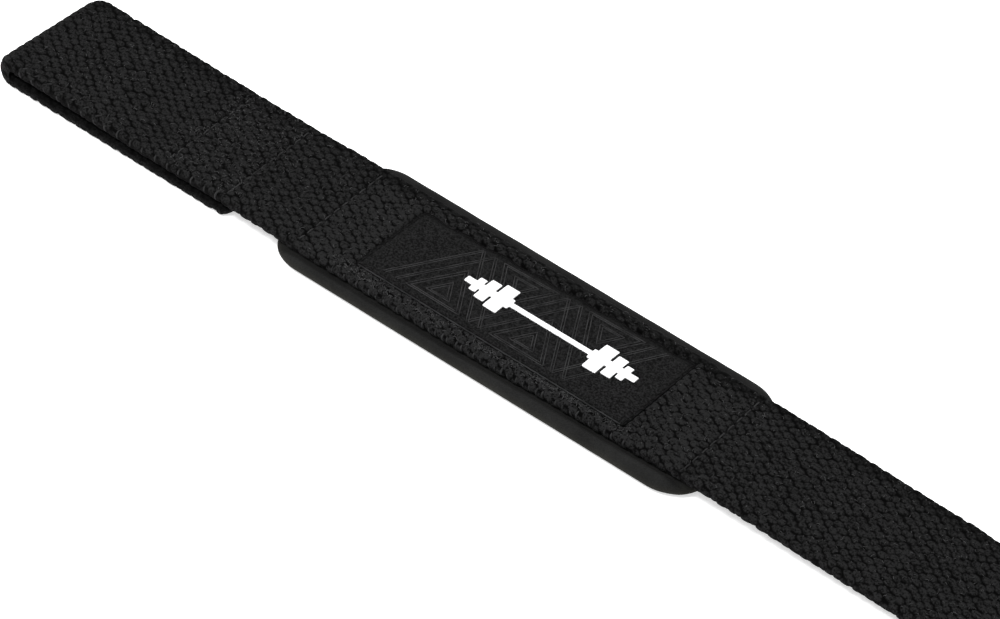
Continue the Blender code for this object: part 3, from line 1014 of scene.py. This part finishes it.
def pad_outline(inset):
    """Points round the pad, drawn in by the inset."""
    radius = max(PAD_CORNER - inset, PAD_CORNER * 0.1)
    half_x, half_y = PAD_LENGTH / 2 - inset, (PAD_HIGH.y - PAD_LOW.y) / 2 - inset
    centre = (PAD_LOW + PAD_HIGH) / 2
    reach_x, reach_y = half_x - radius, half_y - radius
    points = []
    sides = (round((PAD_HIGH.y - PAD_LOW.y) / PAD_SIDE_STEP), round(PAD_LENGTH / PAD_SIDE_STEP))
    corners = ((1, 1), (-1, 1), (-1, -1), (1, -1))

    def on_corner(corner, quarters):
        side_x, side_y = corners[corner % 4]
        angle = math.radians(90 * quarters)
        return side_x * reach_x + radius * math.cos(angle), side_y * reach_y + radius * math.sin(angle)

    for quarter in range(4):
        for step in range(PAD_CORNER_STEPS + 1):
            points.append(on_corner(quarter, quarter + step / PAD_CORNER_STEPS))
        start, end = points[-1], on_corner(quarter + 1, quarter + 1)
        count = sides[(quarter + 1) % 2]
        for i in range(1, count):
            points.append(tuple(a + (b - a) * i / count for a, b in zip(start, end)))
    return np.array(points) + np.array((centre.x, centre.y + PAD_SHIFT))


def pad_height_share(x, y):
    """The pad's height as a share of its free margin's: less where the webbing presses it."""
    middle, half_width = plan_at(x)
    free = eased((np.abs(y - middle) - (half_width + PRESS_MARGIN)) / PRESS_RAMP)
    pressed = PAD_PRESSED_THICKNESS / PAD_EDGE_THICKNESS
    wave = sum(size * np.sin(2 * math.pi * x / length + phase) for size, length, phase in PAD_WAVES)
    return pressed + free * (1 - pressed) * (1 + wave)


def foam_pad(material):
    radius = PAD_EDGE_THICKNESS / 2
    rings = []
    for step in range(PAD_RIM_STEPS + 1):
        angle = math.pi * (step / PAD_RIM_STEPS - 0.5)
        rings.append((radius * (1 - math.cos(angle)), radius * (1 + math.sin(angle))))
    for step in range(1, PAD_TOP_STEPS + 1):
        rings.append((radius + PAD_REACH_IN * step / PAD_TOP_STEPS, PAD_EDGE_THICKNESS))
    points = []
    for inset, height in rings:
        outline = pad_outline(inset - PAD_PROUD)
        share = pad_height_share(outline[:, 0], outline[:, 1])
        points.append(np.column_stack((outline, height * share)))
    points = np.array(points)
    mesh = new_mesh("foam_pad", points.reshape(-1, 3).tolist(), [], ring_faces(*points.shape[:2]))
    mesh.shade_smooth()
    mesh.materials.append(material)
    return linked_object("foam_pad", mesh)


# Materials

def new_material(name, **inputs):
    """A material, its tree and its shader, with the values that are the same all over it."""
    material = bpy.data.materials.new(name)
    material.use_nodes = True
    tree = material.node_tree
    return material, tree, feed(tree, tree.nodes["Principled BSDF"], inputs)


def place_on(tree):
    """Where on the object the shaded point lies."""
    return put(tree, "ShaderNodeTexCoord").outputs["Object"]


def stored_painted_shade(tree):
    """The painted shade and light that the mesh stores as its tone."""
    return put(tree, "ShaderNodeAttribute", {"attribute_name": "tone"}).outputs["Fac"]


def mixed_colour(tree, share, low, high):
    node = put(tree, "ShaderNodeMix", {"data_type": "RGBA"})
    for index, value in ((0, share), (6, (*low, 1.0)), (7, (*high, 1.0))):
        fill(tree, node.inputs[index], value)
    return node.outputs[2]


def covered(tree, shader, colour, height, distance, strength):
    """Gives the shader its colour, and bumps of this height."""
    fill(tree, shader.inputs["Base Color"], colour)
    node = put(tree, "ShaderNodeBump", Height=height, Distance=distance, Strength=strength)
    fill(tree, shader.inputs["Normal"], node.outputs[0])


def webbing_material():
    """Black cotton yarns with twisted plies and fine fibres: painted shade darkens the gaps between them,
    the crowns stay paler.
    """
    material, tree, shader = new_material(
        "black webbing", Roughness=0.95, Sheen_Weight=0.01, Specular_IOR_Level=0.04
    )
    lattice = put(tree, "ShaderNodeUVMap", {"uv_map": "weave"}).outputs[0]
    place = place_on(tree)
    height, tone, offset = yarn_bumps(tree, lattice)
    # Painted shade: the gaps between the yarn bumps take the dark colour, the crowns the paler one.
    crown = rescaled(tree, height, 0.20, 0.98, 0.0, 1.15)
    plies = vector_calc(tree, "DOT_PRODUCT", offset, (7.0, 16.0, 0.0))
    plies = calc(tree, "MULTIPLY_ADD", calc(tree, "SINE", plies), 0.5, 0.5)
    fibres = noise(tree, place, 1900.0, 4.0, 0.7)
    patchy = noise(tree, place, 160.0, 3.0, 0.6)
    share = calc(tree, "MULTIPLY", crown, calc(tree, "MULTIPLY_ADD", tone, 0.35, 0.65))
    share = calc(tree, "MULTIPLY", share, rescaled(tree, fibres, 0.38, 0.64, 0.0, 2.4))
    share = calc(tree, "MULTIPLY", share, rescaled(tree, patchy, 0.30, 0.70, 0.75, 1.15))
    # The painted shade and light stored on the band.
    share = calc(tree, "MULTIPLY", share, stored_painted_shade(tree))
    colour = mixed_colour(tree, share, (0.0006, 0.0006, 0.0006), (0.0134, 0.0134, 0.0136))
    relief = calc(tree, "MULTIPLY_ADD", plies, 0.35, fibres)
    covered(tree, shader, colour, relief, 0.12 * MM, 0.8)
    return material


def yarn_material(name, colour, roughness=0.8):
    """Spun thread: fine fibres along and across, uneven in tone."""
    material, tree, shader = new_material(
        name, Roughness=roughness, Sheen_Weight=0.01, Specular_IOR_Level=0.06
    )
    place = place_on(tree)
    fibres = noise(tree, place, 5200.0, 3.0, 0.65)
    patchy = noise(tree, place, 330.0, 2.0, 0.5)
    dark = tuple(0.35 * part for part in colour)
    fine = rescaled(tree, fibres, 0.32, 0.68, 0.3, 1.0)
    share = calc(tree, "MULTIPLY", fine, rescaled(tree, patchy, 0.35, 0.6, 0.2, 1.0))
    covered(tree, shader, mixed_colour(tree, share, dark, colour), fibres, 0.06 * MM, 0.7)
    return material


def white_thread_material():
    """Bright white embroidery thread, faintly streaked along its stitches."""
    material, tree, shader = new_material("white thread", Roughness=0.6, Specular_IOR_Level=0.2)
    stretched = put(tree, "ShaderNodeMapping", Vector=place_on(tree), Scale=(4000.0, 500.0, 4000.0))
    share = noise(tree, stretched.outputs[0], 1.0, 2.0, 0.5)
    colour = mixed_colour(tree, share, (0.84, 0.84, 0.85), (0.97, 0.97, 0.97))
    covered(tree, shader, colour, share, 0.02 * MM, 0.3)
    return material


def foam_material():
    """Matte foam with a fine pored skin, lighter and warmer low down on its side as painted light bounced
    from the floor.
    """
    material, tree, shader = new_material(
        "black foam", Roughness=0.8, Sheen_Weight=0.01, Specular_IOR_Level=0.06
    )
    place = place_on(tree)
    pores = noise(tree, place, 3600.0, 3.0, 0.6)
    cloudy = noise(tree, place, 110.0, 3.0, 0.55)
    height = put(tree, "ShaderNodeSeparateXYZ", Vector=place).outputs["Z"]
    # Painted light: the side is lighter and warmer low down, as if lit from the floor.
    painted_bounce_share = rescaled(tree, height, 1.2 * MM, 4.4 * MM, 1.0, 0.0)
    base = mixed_colour(tree, painted_bounce_share, (0.0098, 0.0098, 0.0096), (0.0136, 0.0132, 0.0108))
    clouds = rescaled(tree, cloudy, 0.3, 0.7, 0.8, 1.2)
    shade = calc(tree, "MULTIPLY", clouds, rescaled(tree, pores, 0.3, 0.7, 0.7, 1.3))
    colour = put(tree, "ShaderNodeVectorMath", {"operation": "SCALE"}, Vector=base, Scale=shade)
    covered(tree, shader, colour.outputs[0], pores, 0.05 * MM, 0.5)
    return material


def patch_material():
    """Fine close-woven cloth, darkened by the painted shade stored on the mesh."""
    material, tree, shader = new_material(
        "black patch cloth", Roughness=0.9, Sheen_Weight=0.01, Specular_IOR_Level=0.05
    )
    grain = noise(tree, place_on(tree), 1700.0, 5.0, 0.8)
    speckle = calc(tree, "MULTIPLY", rescaled(tree, grain, 0.40, 0.62, 0.0, 1.0), stored_painted_shade(tree))
    colour = mixed_colour(tree, speckle, (0.0005, 0.0005, 0.0005), (0.0140, 0.0140, 0.0142))
    covered(tree, shader, colour, grain, 0.05 * MM, 0.5)
    return material


# Studio

def pale_material(name, shade, glow):
    """Plain white, lit a little from below like a light table, so that shadows on it stay pale."""
    material, tree, shader = new_material(name, Roughness=0.9, Specular_IOR_Level=0.1)
    feed(tree, shader, {"Base_Color": (shade, shade, shade, 1.0)})
    feed(tree, shader, {"Emission_Color": WHITE, "Emission_Strength": glow})
    return material


def studio_floor():
    sides = ((-1, -1), (1, -1), (1, 1), (-1, 1))
    corners = [(x * FLOOR_REACH, y * FLOOR_REACH, 0) for x, y in sides]
    mesh = new_mesh("studio_floor", corners, [], [(0, 1, 2, 3)])
    mesh.materials.append(pale_material("pale floor", 0.80, 0.55))
    floor = linked_object("studio_floor", mesh)
    floor.location.z = -FLOOR_DROP
    return floor


def soft_light(name, place, size, power):
    """A soft round light aimed at the strap's middle."""
    light = bpy.data.lights.new(name, "AREA")
    light.shape = "DISK"
    light.size = size
    light.energy = power
    obj = linked_object(name, light)
    obj.location = place
    obj.rotation_euler = (-Vector(place)).to_track_quat("-Z", "Y").to_euler()


def light_studio():
    world = bpy.data.worlds.new("studio")
    world.use_nodes = True
    background = world.node_tree.nodes["Background"]
    background.inputs["Color"].default_value = WHITE
    background.inputs["Strength"].default_value = SKY_STRENGTH
    bpy.context.scene.world = world
    for light in LIGHTS:
        soft_light(*light)


def photo_camera():
    """The camera at the photograph's angle."""
    right = CAMERA_RIGHT.normalized()
    back = right.cross(CAMERA_UP).normalized()
    up = back.cross(right)
    turn = Matrix((right, up, back)).transposed()
    data = bpy.data.cameras.new("photo_camera")
    data.sensor_fit = "HORIZONTAL"
    data.sensor_width = SENSOR_WIDTH_MM
    data.lens = LENS_MM
    data.clip_start, data.clip_end = 0.05, 20.0
    camera = linked_object("photo_camera", data)
    camera.matrix_world = Matrix.Translation(CAMERA_PLACE) @ turn.to_4x4()
    bpy.context.scene.camera = camera


def rides(piece, node):
    """The piece stands for this node, which is hidden, and moves with the body."""
    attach(piece, BODY)
    if node:
        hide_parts(node)
    return piece


photo_camera()
WOVEN_TREE = woven_tree()
THREAD_TREE = thread_tree()
RANDOM = np.random.default_rng(RANDOM_SEED)

webbing = webbing_material()
black_thread = yarn_material("black thread", (0.036, 0.036, 0.0365), 0.6)
hem_thread = yarn_material("black hem thread", (0.005, 0.005, 0.005), 0.7)
weft_yarn = yarn_material("black weft yarn", (0.030, 0.030, 0.0305))
# Much paler than the yarns: the loose fibres are real, their pale colour a painted highlight.
fibre_fluff = yarn_material("black cotton fibre", (0.070, 0.070, 0.071))
# Paler than the patch cloth: a painted highlight along the patch's near edge.
roll_painted_highlight = yarn_material("black edge roll", (0.032, 0.032, 0.033), 0.7)
# Paler than the patch cloth: a painted highlight on the raised ridges.
relief_thread = yarn_material("black relief thread", (0.036, 0.036, 0.0365), 0.65)
white_thread = white_thread_material()

stations, (tail_break, middle_break) = band_stations()
stretches = (
    ("webbing_tail", stations[: tail_break + 1]),
    ("webbing_over_pad", stations[tail_break : middle_break + 1]),
    ("webbing_loop", stations[middle_break:]),
)
tail, middle, loop = (
    rides(woven_band(name, stretch, webbing), "webbing_strap") for name, stretch in stretches
)
curls = rides(selvedge_curls(weft_yarn, RANDOM), None)
fibres = rides(loose_fibres(fibre_fluff, RANDOM), None)
seams = rides(seam_threads(black_thread), None)

pad = rides(foam_pad(foam_material()), "wrist_pad")

patch = rides(patch_cloth(patch_material()), "label_patch")
hem = rides(patch_stitches(hem_thread), None)
roll = rides(patch_edge_roll(roll_painted_highlight), None)
relief = rides(relief_lines(relief_thread), None)
rides(barbell_body(white_thread), "barbell_figure")
rides(barbell_threads(white_thread), "barbell_figure")

floor = studio_floor()
light_studio()
bpy.context.scene.view_settings.view_transform = "Standard"
